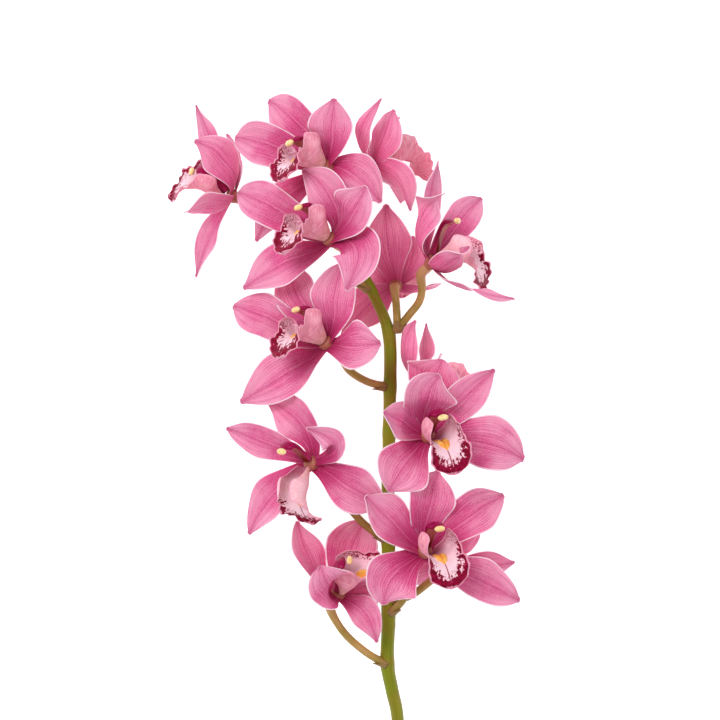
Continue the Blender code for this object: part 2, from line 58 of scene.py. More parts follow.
# Tepals, with widths as shares of the widest and places as shares of the length
TEPAL_THICKNESS = 0.8 * MM
TEPAL_THINNING = 0.55
TEPAL_ROWS = 40
TEPAL_COLUMNS = 28
TEPAL_ROOT_WIDTH = 0.30
TEPAL_TIP_WIDTH = 0.02
TEPAL_WIDEST = 0.56
TEPAL_TAPER = 1.8
TEPAL_CREASE = 0.07
TEPAL_CREASE_ROUND = 0.003
TEPAL_SWAY = 0.025
TEPAL_SWAY_RATE = 15
TEPAL_RIPPLE = 0.9 * MM
TEPAL_RIPPLE_RATE = 11
TEPAL_PLEAT = 0.16 * MM
TEPAL_PLEATS = 3
BLUNT_WIDTH = 0.15
BLUNT_START = 0.92
FLAT_ROOT = 0.5
WHORL_OFFSET = 1.0 * MM

# Hub: each ring's distance forward and its share of the radius
HUB_RADIUS = 5.4 * MM
HUB_FRONT = 3.6 * MM
HUB_BACK = 4.5 * MM
HUB_SIDES = 24
HUB_PROFILE = (
    (HUB_FRONT, 0.55),
    (HUB_FRONT - 0.4 * MM, 0.74),
    (HUB_FRONT - 1.3 * MM, 0.84),
    (0.0, 0.82),
    (-HUB_BACK * 0.5, 0.72),
    (-HUB_BACK * 0.9, 0.60),
    (-HUB_BACK, 0.5),
)

# Lip, in its own plane: millimetres forward along the facing, then up along the bloom
LIP_THICKNESS = 0.8 * MM
LIP_THINNING = 0.5
LIP_ROWS = 56
LIP_COLUMNS = 72
LIP_HINGE = (4.15, -3.0)
LIP_ROUTE = (LIP_HINGE, (13.0, -5.4), (20.0, -7.0), (25.6, -10.6), (29.0, -17.5), (29.6, -26.0))
LIP_HALF_WIDTHS = (6.6, 14.5, 24.0, 21.5, 14.5, 14.0, 12.0, 4.6)
LIP_CURLS = (80.0, 102.0, 122.0, 116.0, 62.0, 30.0, 8.0, -8.0)
LIP_LEAST_CURL = 0.02
LIP_ROUND_START = 0.9
LIP_ROUND_WIDTH = 6.8 * MM
LIP_END_WIDTH = 0.06
LIP_WAVE = 1.2 * MM
LIP_WAVES = 3
LIP_RIPPLE = 0.9 * MM
LIP_RIPPLE_RATE = 58
LIP_TIP_RIPPLE = 1.0 * MM
LIP_TIP_RIPPLE_RATE = 11
LIP_FLARE = 1.3 * MM
LOBE_SHIFT = 3.2 * MM
LOBE_PLACE = 0.40
CALLUS_HEIGHT = 2.3 * MM
CALLUS_PLACE = 0.10

# Where the lip's crimson starts, and how fast it closes up towards the edge
CRIMSON_LIPS = ("b", "d", "g")
CRIMSON_WIDE = (0.66, 0.8)
CRIMSON_NARROW = (0.76, 1.05)
PALE_LIPS = ("f", "j")

# Column and its anther cap, in the same plane as the lip
COLUMN_ROUTE = ((4.9, 2.4), (11.5, 5.2), (18.0, 8.2), (23.4, 8.9), (26.8, 6.6))
COLUMN_HALF_WIDTHS = (3.2, 3.7, 4.3, 5.0, 3.8)
COLUMN_HALF_DEPTHS = (2.6, 2.2, 2.2, 2.5, 2.0)
COLUMN_SIDES = 28
COLUMN_RINGS = 30
COLUMN_HOLLOW = 0.55
COLUMN_WING = 0.12
COLUMN_ROUND_START = 0.93
COLUMN_ROUND_LENGTH = 0.075
CAP_RADIUS = 2.7 * MM
CAP_WIDE = 1.25
CAP_TALL = 0.70
CAP_GROOVE = 0.16
CAP_GROOVE_WIDTH = 0.2
CAP_OPENING = 0.02
CAP_RINGS = 18
CAP_SIDES = 28
CAP_GAP = 0.3 * MM

# Stem
STEM_RINGS = 220
STEM_SIDES = 32
STEM_RIB = 0.012
STEM_RIBS = 7
NODE_SWELL = 0.5 * MM
NODE_LENGTH = 5.0 * MM
SCAR_PLACE = (388.4, 626, 43)
SCAR_SWELL = 0.35 * MM
SCAR_LENGTH = 1.6 * MM

# Pedicels, each with its ovary and its bract
PEDICEL_RADIUS = 2.4 * MM
PEDICEL_RINGS = 40
PEDICEL_SIDES = 20
PEDICEL_GAP = 0.06 * MM
FOOT_SWELL = 0.9 * MM
FOOT_LENGTH = 0.06
OVARY_RADIUS = 3.0 * MM
OVARY_LENGTH = 6.0 * MM
OVARY_RIB = 0.05
OVARY_RIBS = 6
BRACT_LENGTH = 8.0 * MM
BRACT_WRAP = 85.0
BRACT_THICKNESS = 0.6 * MM
BRACT_ROWS = 12
BRACT_COLUMNS = 11

# Petal pattern, and how far red, green and blue light spread inside a petal
VEINS_ACROSS = 22
STRANDS_ACROSS = 84.0
SPREAD_OF_LIGHT = (1.0, 0.35, 0.5)

# Material numbers in a piece
FRONT, BACK, HUB = 0, 1, 2
STEM_SKIN, PEDICEL_SKIN, BRACT_SKIN = 0, 1, 2

# Colours, as linear red, green and blue
PETAL_PINK = (0.66, 0.080, 0.250)
PETAL_PALE = (0.82, 0.340, 0.500)
# Tepal root colour: the root's own deep crimson, made darker and spread further to also paint the shade in
# the cupped base
PETAL_ROOT_AND_SHADE = (0.34, 0.002, 0.055)
# Back-face colours, painted lighter than the front to lift the shade that the tepals' backs lie in
BACK_PINK_PAINTED_LIGHTER = (0.76, 0.140, 0.320)
BACK_PALE_PAINTED_LIGHTER = (0.86, 0.320, 0.490)
BACK_ROOT_PAINTED_LIGHTER = (0.46, 0.025, 0.100)
VEIN_PINK = (0.42, 0.014, 0.135)
MARGIN_PALE = (0.92, 0.700, 0.780)
LIP_WHITE = (0.90, 0.660, 0.730)
LIP_BLUSH = (0.86, 0.500, 0.600)
THROAT_PINK = (0.36, 0.050, 0.110)
LOBE_PINK = (0.62, 0.130, 0.250)
CRIMSON = (0.28, 0.001, 0.036)
CRIMSON_DEEP = (0.15, 0.001, 0.014)
RIM_PINK = (0.80, 0.340, 0.470)
CALLUS_YELLOW = (0.88, 0.480, 0.120)
CALLUS_ORANGE = (0.82, 0.330, 0.060)
OUTER_TAN = (0.70, 0.380, 0.310)
OUTER_PINK = (0.84, 0.340, 0.430)
OUTER_PALE = (0.86, 0.520, 0.570)
COLUMN_CRIMSON = (0.28, 0.001, 0.055)
COLUMN_PINK = (0.42, 0.030, 0.120)
COLUMN_TAN = (0.46, 0.120, 0.110)
COLUMN_BROWN = (0.17, 0.009, 0.004)
CAP_CREAM = (0.82, 0.560, 0.210)
CAP_PALE = (0.90, 0.720, 0.380)
CAP_YELLOW = (0.70, 0.420, 0.080)
STEM_GREEN = (0.180, 0.215, 0.007)
STEM_OLIVE = (0.220, 0.185, 0.012)
STEM_LIGHT = (0.330, 0.320, 0.035)
STEM_BROWN = (0.150, 0.095, 0.015)
PEDICEL_FOOT = (0.220, 0.120, 0.030)
PEDICEL_OLIVE = (0.290, 0.200, 0.030)
PEDICEL_TAN = (0.430, 0.240, 0.065)
PEDICEL_PINK = (0.540, 0.260, 0.130)
PEDICEL_PALE = (0.600, 0.400, 0.170)
BRACT_DARK = (0.150, 0.080, 0.025)
BRACT_LIGHT = (0.380, 0.250, 0.090)
HUB_PINK = (0.340, 0.050, 0.060)
HUB_TAN = (0.400, 0.160, 0.080)
FLOOR_WHITE = (0.92, 0.92, 0.92)


class Tepal(NamedTuple):
    """One sepal or petal: middle and tip are pixel x, pixel y and mm above the bloom's centre.

    The inner side looks where the bloom faces, or where inner says.
    """

    kind: str
    middle: tuple
    tip: tuple
    width: float
    cup: float = 0.22
    inner: tuple = None


class Bloom(NamedTuple):
    """One flower: its centre, facing, lean round that, tepals, stalk, and its lip's drop and fold.

    Centre and stalk are places as pixel x, pixel y and mm above the floor.
    """

    name: str
    centre: tuple
    facing: tuple
    lean: float
    lip_drop: float
    tepals: tuple
    pedicel: tuple
    lip_fold: float = 1.0


# The stem from its cut end up, in the same places, and its radii in mm
STEM_ROUTE = (
    (401, 832, 3.2),
    (400, 775, 11),
    (397.5, 718, 24),
    (392, 690, 31),
    (387.2, 662, 37),
    (388.4, 620, 43),
    (388.4, 560, 45),
    (388, 491, 45),
    (389.7, 400, 45),
    (390, 345, 45),
    (385, 320, 45),
    (374, 296, 45),
    (361, 268, 45),
    (348, 232, 46),
    (338, 200, 48),
)
STEM_RADII = (3.4, 3.6, 3.9, 4.1, 4.2, 4.2, 4.1, 4.0, 3.9, 3.9, 3.5, 3.1, 2.9, 2.7, 2.4)

BLOOMS = (
    Bloom(
        name="a",
        centre=(232, 196, 30),
        facing=(-0.90, 0.38, 0.20),
        lean=-40,
        lip_drop=-14,
        tepals=(
            Tepal("sepal", middle=(240, 158, -2), tip=(226, 134, 2), width=24),
            Tepal("petal", middle=(223, 160, 20), tip=(194, 141, 26), width=25, inner=(-0.5, 0.1, -1)),
            Tepal("petal", middle=(214, 146, -16), tip=(196, 104, -18), width=20, inner=(-0.8, 0.2, 0.5)),
            Tepal("sepal", middle=(208, 206, 20), tip=(183, 213, 28), width=22),
            Tepal("sepal", middle=(214, 230, -20), tip=(196, 278, -29), width=22, inner=(-0.7, 0.2, 0.6)),
        ),
        pedicel=((340, 206, 47), (300, 216, 40), (266, 210, 34)),
    ),
    Bloom(
        name="b",
        centre=(326, 167, 68),
        facing=(-0.75, 0.29, 0.60),
        lean=15,
        lip_drop=-8,
        tepals=(
            Tepal("sepal", middle=(295, 122, -8), tip=(268, 101, -22), width=26, inner=(-0.5, 0.1, 0.8)),
            Tepal("petal", middle=(268, 145, -10), tip=(235, 138, -26), width=27, inner=(-0.5, 0.1, 0.8)),
            Tepal("petal", middle=(331, 130, 10), tip=(334, 98, 14), width=28, inner=(-0.2, 0.1, 1)),
            Tepal("sepal", middle=(284, 200, -14), tip=(256, 242, -24), width=24, inner=(-0.4, 0.1, 0.8)),
            Tepal("sepal", middle=(354, 174, 2), tip=(381, 203, -2), width=28, cup=0.1, inner=(0, 0, 1)),
        ),
        pedicel=((338, 202, 48), (342, 191, 54), (342, 180, 59)),
        lip_fold=0.9,
    ),
    Bloom(
        name="c",
        centre=(374, 165, 45),
        facing=(0.80, 0.35, -0.45),
        lean=0,
        lip_drop=-10,
        tepals=(
            Tepal("sepal", middle=(383, 138, 16), tip=(394, 109, 24), width=26),
            Tepal("petal", middle=(360, 137, 22), tip=(382, 98, 34), width=14),
            Tepal("petal", middle=(376, 138, -20), tip=(400, 117, -32), width=18),
            Tepal("sepal", middle=(396, 178, 12), tip=(410, 211, 8), width=27),
            Tepal("sepal", middle=(388, 182, -22), tip=(400, 203, -45), width=24),
        ),
        pedicel=((342, 214, 47), (352, 196, 52), (362, 178, 50)),
    ),
    Bloom(
        name="d",
        centre=(331, 240, 84),
        facing=(-0.70, 0.49, 0.52),
        lean=12,
        lip_drop=4,
        tepals=(
            Tepal("sepal", middle=(330, 198, 3), tip=(302, 170, -4), width=26, inner=(-0.4, 0.2, 0.8)),
            Tepal("petal", middle=(270, 206, -8), tip=(238, 193, -24), width=26, inner=(-0.5, 0.3, 0.8)),
            Tepal("petal", middle=(352, 213, 18), tip=(366, 186, 26), width=30, inner=(-0.3, 0.2, 0.9)),
            Tepal("sepal", middle=(288, 262, -8), tip=(243, 289, -18), width=29, inner=(-0.3, 0.3, 0.9)),
            Tepal("sepal", middle=(358, 250, 18), tip=(346, 291, 18), width=31, inner=(-0.3, 0.2, 0.9)),
        ),
        pedicel=((368, 290, 46), (356, 278, 50), (348, 262, 66)),
        lip_fold=0.9,
    ),
    Bloom(
        name="e",
        centre=(396, 285, 40),
        facing=(0.10, 0.30, -0.95),
        lean=0,
        lip_drop=-16,
        tepals=(
            Tepal("sepal", middle=(388, 246, 6), tip=(386, 204, 0), width=29),
            Tepal("petal", middle=(411, 261, -2), tip=(412, 236, -18), width=22),
            Tepal("petal", middle=(374, 266, -12), tip=(352, 250, -28), width=24),
            Tepal("sepal", middle=(420, 291, -4), tip=(441, 283, -24), width=16, inner=(0.1, 0.9, -0.3)),
            Tepal("sepal", middle=(370, 304, -10), tip=(342, 336, -20), width=26),
        ),
        pedicel=((397, 332, 46), (397, 318, 49), (396, 302, 50)),
    ),
    Bloom(
        name="f",
        centre=(432, 262, 60),
        facing=(0.63, 0.73, 0.27),
        lean=0,
        lip_drop=40,
        tepals=(
            Tepal("sepal", middle=(428, 210, -12), tip=(438, 160, -12), width=22),
            Tepal("petal", middle=(420, 222, 16), tip=(446, 193, 26), width=24),
            Tepal("petal", middle=(460, 221, -16), tip=(482, 198, -30), width=21),
            Tepal("sepal", middle=(446, 264, 26), tip=(470, 246, 34), width=18),
            Tepal("sepal", middle=(470, 289, 32), tip=(515, 299, 30), width=22, cup=0.05),
        ),
        pedicel=((397, 330, 46), (409, 315, 50), (419, 302, 52), (422, 289, 54)),
    ),
    Bloom(
        name="g",
        centre=(327, 344, 75),
        facing=(-0.68, 0.56, 0.47),
        lean=15,
        lip_drop=8,
        tepals=(
            Tepal("sepal", middle=(299, 299, -8), tip=(290, 262, -20), width=27, inner=(-0.4, 0.3, 0.8)),
            Tepal("petal", middle=(268, 318, -9), tip=(233, 306, -24), width=27, inner=(-0.4, 0.3, 0.8)),
            Tepal("petal", middle=(333, 301, 4), tip=(342, 262, -2), width=28, inner=(-0.1, 0.2, 1)),
            Tepal("sepal", middle=(288, 373, -6), tip=(240, 403, -12), width=31, inner=(-0.2, 0.2, 1)),
            Tepal("sepal", middle=(354, 346, 16), tip=(381, 343, 18), width=30, inner=(-0.2, 0.2, 1)),
        ),
        pedicel=((386, 387, 46), (366, 381, 50), (349, 370, 59)),
        lip_fold=0.9,
    ),
    Bloom(
        name="h",
        centre=(424, 392, 43),
        facing=(0.80, 0.20, -0.40),
        lean=0,
        lip_drop=-18,
        tepals=(
            Tepal("sepal", middle=(423, 356, -4), tip=(426, 323, -8), width=20),
            Tepal("petal", middle=(405, 356, 10), tip=(416, 320, 18), width=22),
            Tepal("petal", middle=(434, 374, -24), tip=(440, 354, -43), width=22),
            Tepal("sepal", middle=(448, 398, 18), tip=(480, 374, 14), width=22),
            Tepal("sepal", middle=(434, 378, 16), tip=(442, 359, 20), width=38, cup=0.1, inner=(0, 0.2, 1)),
        ),
        pedicel=((392, 432, 45), (400, 416, 47), (410, 400, 47)),
        lip_fold=1.1,
    ),
    Bloom(
        name="i",
        centre=(427, 436, 80),
        facing=(0.33, 0.24, 0.91),
        lean=8,
        lip_drop=8,
        tepals=(
            Tepal("sepal", middle=(427, 399, 10), tip=(440, 375, 14), width=34),
            Tepal("petal", middle=(402, 422, 14), tip=(383, 412, 24), width=24),
            Tepal("petal", middle=(460, 403, -6), tip=(495, 369, -14), width=23),
            Tepal("sepal", middle=(404, 466, 8), tip=(389, 492, 10), width=35),
            Tepal("sepal", middle=(484, 443, -6), tip=(524, 460, -18), width=35),
        ),
        pedicel=((391, 478, 46), (400, 464, 54), (414, 449, 63)),
        lip_fold=1.1,
    ),
    Bloom(
        name="j",
        centre=(312, 463, 73),
        facing=(-0.62, 0.10, 0.78),
        lean=-4,
        lip_drop=66,
        lip_fold=1.25,
        tepals=(
            Tepal("sepal", middle=(300, 423, -2), tip=(266, 401, -18), width=27),
            Tepal("petal", middle=(266, 443, -6), tip=(226, 428, -22), width=20),
            Tepal("petal", middle=(336, 446, 18), tip=(306, 428, 14), width=18),
            Tepal("sepal", middle=(274, 495, -17), tip=(249, 535, -24), width=27, cup=0.12),
            Tepal("sepal", middle=(350, 486, 6), tip=(386, 506, 4), width=30),
        ),
        pedicel=((386, 540, 46), (360, 520, 50), (332, 484, 58)),
    ),
    Bloom(
        name="k",
        centre=(424, 552, 80),
        facing=(0.33, 0.38, 0.86),
        lean=6,
        lip_drop=12,
        tepals=(
            Tepal("sepal", middle=(430, 503, 0), tip=(438, 471, -4), width=29),
            Tepal("petal", middle=(391, 522, 8), tip=(365, 496, 14), width=30),
            Tepal("petal", middle=(470, 516, -6), tip=(504, 495, -16), width=27),
            Tepal("sepal", middle=(393, 578, 8), tip=(384, 605, 10), width=35),
            Tepal("sepal", middle=(478, 580, -2), tip=(520, 601, -12), width=28),
        ),
        pedicel=((391, 613, 46), (404, 598, 54), (414, 572, 63)),
        lip_fold=1.05,
    ),
    Bloom(
        name="l",
        centre=(337, 595, 58),
        facing=(0.42, 0.72, 0.55),
        lean=60,
        lip_drop=0,
        tepals=(
            Tepal("sepal", middle=(309, 558, -8), tip=(297, 521, -18), width=24),
            Tepal("petal", middle=(350, 552, -16), tip=(364, 520, -28), width=32, inner=(0, 0.2, 1)),
            Tepal("petal", middle=(328, 584, 32), tip=(320, 566, 36), width=28, inner=(0, 0.3, 1)),
            Tepal("sepal", middle=(360, 594, -2), tip=(383, 589, -2), width=26, inner=(0, 0.2, 1)),
            Tepal("sepal", middle=(362, 610, 4), tip=(377, 643, 6), width=19, inner=(0, 0.2, 1)),
        ),
        pedicel=((386, 664, 39), (367, 653, 44), (348, 637, 48), (336, 621, 50)),
    ),
    Bloom(
        name="m",
        centre=(446, 560, 42),
        facing=(-0.30, 0.20, -0.93),
        lean=0,
        lip_drop=-15,
        tepals=(
            Tepal("sepal", middle=(450, 528, 2), tip=(453, 500, -6), width=24),
            Tepal("petal", middle=(466, 540, -2), tip=(479, 520, -10), width=19),
            Tepal("petal", middle=(424, 544, 2), tip=(404, 530, -6), width=22),
            Tepal("sepal", middle=(482, 566, 2), tip=(515, 562, 0), width=18),
            Tepal("sepal", middle=(418, 574, -6), tip=(396, 586, -20), width=22),
        ),
        pedicel=((390, 600, 45), (410, 596, 50), (432, 580, 50)),
    ),
)


def at(place):
    """Point of a place given as pixel x, pixel y and millimetres above the floor."""
    pixel_x, pixel_y, height = place
    z = height * MM
    scale = (CAMERA_HEIGHT - z) / FOCAL_PIXELS
    x = CAMERA_X + (pixel_x - PHOTO_MIDDLE) * scale
    y = CAMERA_Y + (PHOTO_MIDDLE - pixel_y) * scale
    return np.array((x, y, z))


def unit(vectors):
    """The vectors, each made one long."""
    return vectors / np.maximum(np.linalg.norm(vectors, axis=-1, keepdims=True), 1e-12)


def ease(low, high, values):
    """Smooth step from 0 at low to 1 at high."""
    share = np.clip((values - low) / (high - low), 0.0, 1.0)
    return share * share * (3 - 2 * share)


def band(values, start, full, fading, end):
    """1 from full to fading, eased down to 0 at start and end."""
    return ease(start, full, values) * (1 - ease(fading, end, values))


def bell(values, middle, spread):
    """A rounded bump, 1 at the middle and fading over the spread."""
    return np.exp(-(((values - middle) / spread) ** 2))


def crowd(shares, strength):
    """Shares drawn closer together towards 1 and -1."""
    return shares * (1 - strength) + np.sin(shares * math.pi / 2) * strength


def round_end(shares, start, length, least=0.0):
    """1 up to the start, then along a quarter circle down to the least."""
    end = np.clip((shares - start) / length, 0, 1)
    return np.maximum(np.sqrt(1 - end**2), least)


def smooth_path(points, shares):
    """Points of a Catmull-Rom curve through the points, at shares 0 to 1 of it."""
    points = np.asarray(points, float)
    if points.ndim == 1:
        points = points[:, None]
    ends = np.concatenate(([points[0] * 2 - points[1]], points, [points[-1] * 2 - points[-2]]))
    place = np.asarray(shares, float) * (len(points) - 1)
    span = np.clip(place.astype(int), 0, len(points) - 2)
    t = (place - span)[:, None]
    before, start, end, after = (ends[span + k] for k in range(4))
    return (
        start * 2
        + (end - before) * t
        + (before * 2 - start * 5 + end * 4 - after) * t**2
        + (start * 3 - before - end * 3 + after) * t**3
    ) / 2


def smooth_value(values, shares):
    """Numbers of the same curve through plain numbers."""
    return smooth_path(values, shares)[:, 0]


def bloom_frame(bloom):
    """Facing, up and right of a bloom, as unit vectors."""
    facing = Vector(bloom.facing).normalized()
    photo_up = Vector((0.0, 1.0, 0.0))
    up = (photo_up - facing * photo_up.dot(facing)).normalized()
    up = Matrix.Rotation(math.radians(bloom.lean), 3, facing) @ up
    return np.array(facing), np.array(up), np.array(up.cross(facing))


def in_plane(bloom, pair):
    """Point of the bloom's middle plane, from millimetres forward and up."""
    facing, up, _ = bloom_frame(bloom)
    return at(bloom.centre) + facing * pair[0] * MM + up * pair[1] * MM


class Build:
    """Collects the vertices, faces, UVs and material numbers of one piece."""

    def __init__(self):
        self.points = []
        self.faces = []
        self.uvs = []
        self.kinds = []
        self.count = 0

    def add_points(self, points):
        """Adds points and returns the number of the first."""
        first = self.count
        self.points.append(points.reshape(-1, 3))
        self.count += len(self.points[-1])
        return first

    def add_face(self, corners, uvs, kind):
        self.faces.append(corners)
        self.uvs.append(uvs)
        self.kinds.append(kind)

    def add_grid(self, points, uvs, kind, flip=False, wrap=False):
        """A grid of quads over rows x columns of points."""
        rows, columns = points.shape[:2]
        first = self.add_points(points)
        for row in range(rows - 1):
            for column in range(columns if wrap else columns - 1):
                after = (column + 1) % columns
                corners = [
                    (row, column, column),
                    (row, after, column + 1),
                    (row + 1, after, column + 1),
                    (row + 1, column, column),
                ]
                if flip:
                    corners.reverse()
                self.add_face(
                    [first + r * columns + c for r, c, _ in corners],
                    [tuple(uvs[r, u]) for r, _, u in corners],
                    kind,
                )
        return first

    def add_sheet(self, points, thickness, uvs, front, back):
        """A closed sheet: a front face along its normals, a back face and a rim."""
        rows, columns = points.shape[:2]
        half = grid_normals(points) * thickness[..., None] / 2
        inner = self.add_grid(points + half, uvs, front)
        outer = self.add_grid(points - half, uvs, back, flip=True)
        ring = [(0, c) for c in range(columns - 1)]
        ring += [(r, columns - 1) for r in range(rows - 1)]
        ring += [(rows - 1, c) for c in range(columns - 1, 0, -1)]
        ring += [(r, 0) for r in range(rows - 1, 0, -1)]
        for here, after in zip(ring, ring[1:] + ring[:1]):
            a = here[0] * columns + here[1]
            b = after[0] * columns + after[1]
            self.add_face(
                [inner + b, inner + a, outer + a, outer + b],
                [tuple(uvs[after]), tuple(uvs[here]), tuple(uvs[here]), tuple(uvs[after])],
                front,
            )

    def add_tube(self, rings, kind):
        """A tube through rings of points, closed at both ends by a fan."""
        rows, sides = rings.shape[:2]
        uvs = grid_uvs(np.linspace(0, 1, sides + 1)[None, :], np.linspace(0, 1, rows)[:, None])
        first = self.add_grid(rings, uvs, kind, wrap=True)
        for row, order in ((0, -1), (rows - 1, 1)):
            middle = self.add_points(rings[row].mean(0))
            for column in range(sides):
                after = (column + 1) % sides
                pair = [first + row * sides + column, first + row * sides + after][::order]
                self.add_face([middle, *pair], [tuple(uvs[row, 0])] * 3, kind)

    def make(self, name, materials):
        """The piece, smooth shaded, in the scene."""
        mesh = bpy.data.meshes.new(name)
        mesh.from_pydata(np.concatenate(self.points).tolist(), [], self.faces)
        for material in materials:
            mesh.materials.append(material)
        mesh.polygons.foreach_set("material_index", self.kinds)
        layer = mesh.uv_layers.new(name="across_along")
        flat = np.array([value for face in self.uvs for corner in face for value in corner])
        layer.data.foreach_set("uv", flat)
        mesh.shade_smooth()
        thing = bpy.data.objects.new(name, mesh)
        bpy.context.scene.collection.objects.link(thing)
        return thing


def grid_normals(points):
    """Unit normals of a grid of points: along the rows crossed with across them."""
    down = np.gradient(points, axis=0)
    across = np.gradient(points, axis=1)
    return unit(np.cross(across, down))


def grid_uvs(across, along):
    """UVs of a grid, as shares across and along it."""
    return np.stack(np.broadcast_arrays(across, along), axis=-1)


def keep(piece, node):
    """The piece stands for its CAD node, which it moves with."""
    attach(piece, "root")
    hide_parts(node)


def keep_bloom_piece(build, bloom, slot, materials):
    """Makes one of a bloom's pieces, whose node is named after its slot."""
    piece = build.make(f"bloom_{bloom.name}_fine_{slot}", materials)
    keep(piece, f"bloom_{bloom.name}_{slot}")


def blade_width(share):
    """Half width of a tepal at a share of its length, against its widest."""
    base = TEPAL_ROOT_WIDTH + (1 - TEPAL_ROOT_WIDTH) * ease(0, TEPAL_WIDEST, share)
    fall = np.clip((share - TEPAL_WIDEST) / (1 - TEPAL_WIDEST), 0, 1)
    blunt = BLUNT_WIDTH * round_end(fall, BLUNT_START, 1 - BLUNT_START)
    blunt = np.where(fall > BLUNT_START, blunt, 0)
    tip = np.maximum(np.maximum(1 - fall**TEPAL_TAPER, blunt), TEPAL_TIP_WIDTH)
    return np.where(share < TEPAL_WIDEST, base, tip)


def tepal_line(bloom, tepal, along, flat):
    """Middle line of a tepal, the way it heads and the way its inner side looks."""
    facing, _, _ = bloom_frame(bloom)
    height = bloom.centre[2]
    side = 1 if tepal.kind == "petal" else -1
    root = at(bloom.centre) + facing * side * WHORL_OFFSET
    middle = at((*tepal.middle[:2], height + tepal.middle[2]))
    tip = at((*tepal.tip[:2], height + tepal.tip[2]))
    towards = unit(np.array(tepal.inner, float)) if tepal.inner else facing
    centre = (
        root * (1 - along) * (1 - 2 * along)
        + middle * 4 * along * (1 - along)
        + tip * along * (2 * along - 1)
    )
    forward = np.maximum((centre - root) @ facing, 0)[:, None] * (1 - flat)
    heading = unit(root * (4 * along - 3) + middle * (4 - 8 * along) + tip * (4 * along - 1))
    look = facing + (towards - facing) * flat
    inner = unit(look - heading * (look * heading).sum(1, keepdims=True))
    return centre - facing * forward, heading, inner


def add_tepal(build, bloom, tepal, number):
    """One sepal or petal: a cupped, creased and rippled blade."""
    along = crowd(np.linspace(0, 1, TEPAL_ROWS + 1), 0.65)[:, None]
    across = crowd(np.linspace(-1, 1, TEPAL_COLUMNS + 1), 0.5)[None, :]
    flat = np.clip(along / FLAT_ROOT, 0, 1)
    centre, heading, inner = tepal_line(bloom, tepal, along, flat)
    sideways = np.cross(heading, inner)
    phase = number * 2.1 + ord(bloom.name) * 0.7
    edge = np.abs(across) ** 3
    sway = np.sin(along * TEPAL_SWAY_RATE + phase + across * 1.2)
    reach = tepal.width * MM / 2 * blade_width(along)
    crease = np.sqrt(across**2 + TEPAL_CREASE_ROUND)
    ripple = edge * np.sin(along * TEPAL_RIPPLE_RATE - phase + across)
    ripple = ripple * band(along, 0.2, 0.5, 0.88, 1.0)
    pleat = np.cos(across * TEPAL_PLEATS * math.pi) * band(along, 0.05, 0.3, 0.75, 1.0)
    lift = reach * (tepal.cup * flat * across**2 + TEPAL_CREASE * crease)
    lift = lift + TEPAL_RIPPLE * ripple + TEPAL_PLEAT * pleat
    points = (
        centre[:, None, :]
        + sideways[:, None, :] * (across * reach * (1 + TEPAL_SWAY * edge * sway))[..., None]
        + inner[:, None, :] * lift[..., None]
    )
    points[..., 2] = np.maximum(points[..., 2], TEPAL_THICKNESS)
    thin = 1 - TEPAL_THINNING * np.maximum(np.abs(across) ** 6, ease(0.85, 1.0, along))
    build.add_sheet(points, thin * TEPAL_THICKNESS, grid_uvs((across + 1) / 2, along), FRONT, BACK)


def add_hub(build, bloom):
    """The flared hub that the tepals grow from."""
    facing, up, right = bloom_frame(bloom)
    angles = np.linspace(0, math.tau, HUB_SIDES, endpoint=False)[:, None]
    ring = (np.cos(angles) * right + np.sin(angles) * up) * HUB_RADIUS
    centre = at(bloom.centre)
    rings = [centre + facing * forward + ring * share for forward, share in HUB_PROFILE]
    build.add_tube(np.array(rings), HUB)


def make_tepals(bloom, materials):
    """The five tepals of a bloom and their hub, as one piece."""
    build = Build()
    for number, tepal in enumerate(bloom.tepals):
        add_tepal(build, bloom, tepal, number)
    add_hub(build, bloom)
    keep_bloom_piece(build, bloom, "tepals", materials)


def lip_path(bloom, along):
    """Middle line of the lip, dropped about its hinge."""
    _, _, right = bloom_frame(bloom)
    hinge = in_plane(bloom, LIP_HINGE)
    drop = np.array(Matrix.Rotation(math.radians(bloom.lip_drop), 3, Vector(right)))
    route = [hinge + drop @ (in_plane(bloom, pair) - hinge) for pair in LIP_ROUTE]
    return smooth_path(route, along)


def lip_reach(along):
    """Half width of the lip, rounded off at its end."""
    reach = smooth_value(LIP_HALF_WIDTHS, along) * MM
    rounding = round_end(along, LIP_ROUND_START, 1 - LIP_ROUND_START, LIP_END_WIDTH)
    rounded = np.maximum(reach, LIP_ROUND_WIDTH) * rounding
    return np.where(along > LIP_ROUND_START, rounded, reach)


def lip_relief(bloom, along, across):
    """Rise of the lip's waves, flared lobes and callus ridges above its plain trough."""
    edge = np.abs(across)
    phase = ord(bloom.name) * 1.3
    wave = edge * np.cos(along * math.tau * LIP_WAVES) * ease(0.42, 0.56, along)
    ripple = np.sin(along * LIP_RIPPLE_RATE + phase + 2 * np.sign(across))
    ripple = ripple * edge**4 * ease(0.3, 0.5, along)
    tip_ripple = np.sin(across * LIP_TIP_RIPPLE_RATE + phase) * ease(0.86, 1.0, along)
    flare = edge**5 * bell(along, LOBE_PLACE, 0.16)
    swell = ease(0.22, 0.42, along)
    place = CALLUS_PLACE * (1 - 0.6 * ease(0.42, 0.60, along))
    ridge = bell(edge, place, 0.050 + 0.030 * swell) * band(along, 0.08, 0.2, 0.48, 0.62)
    return (
        LIP_WAVE * wave
        + LIP_RIPPLE * ripple
        + LIP_TIP_RIPPLE * tip_ripple
        - LIP_FLARE * flare
        + CALLUS_HEIGHT * ridge * (0.45 + 0.55 * swell)
    )


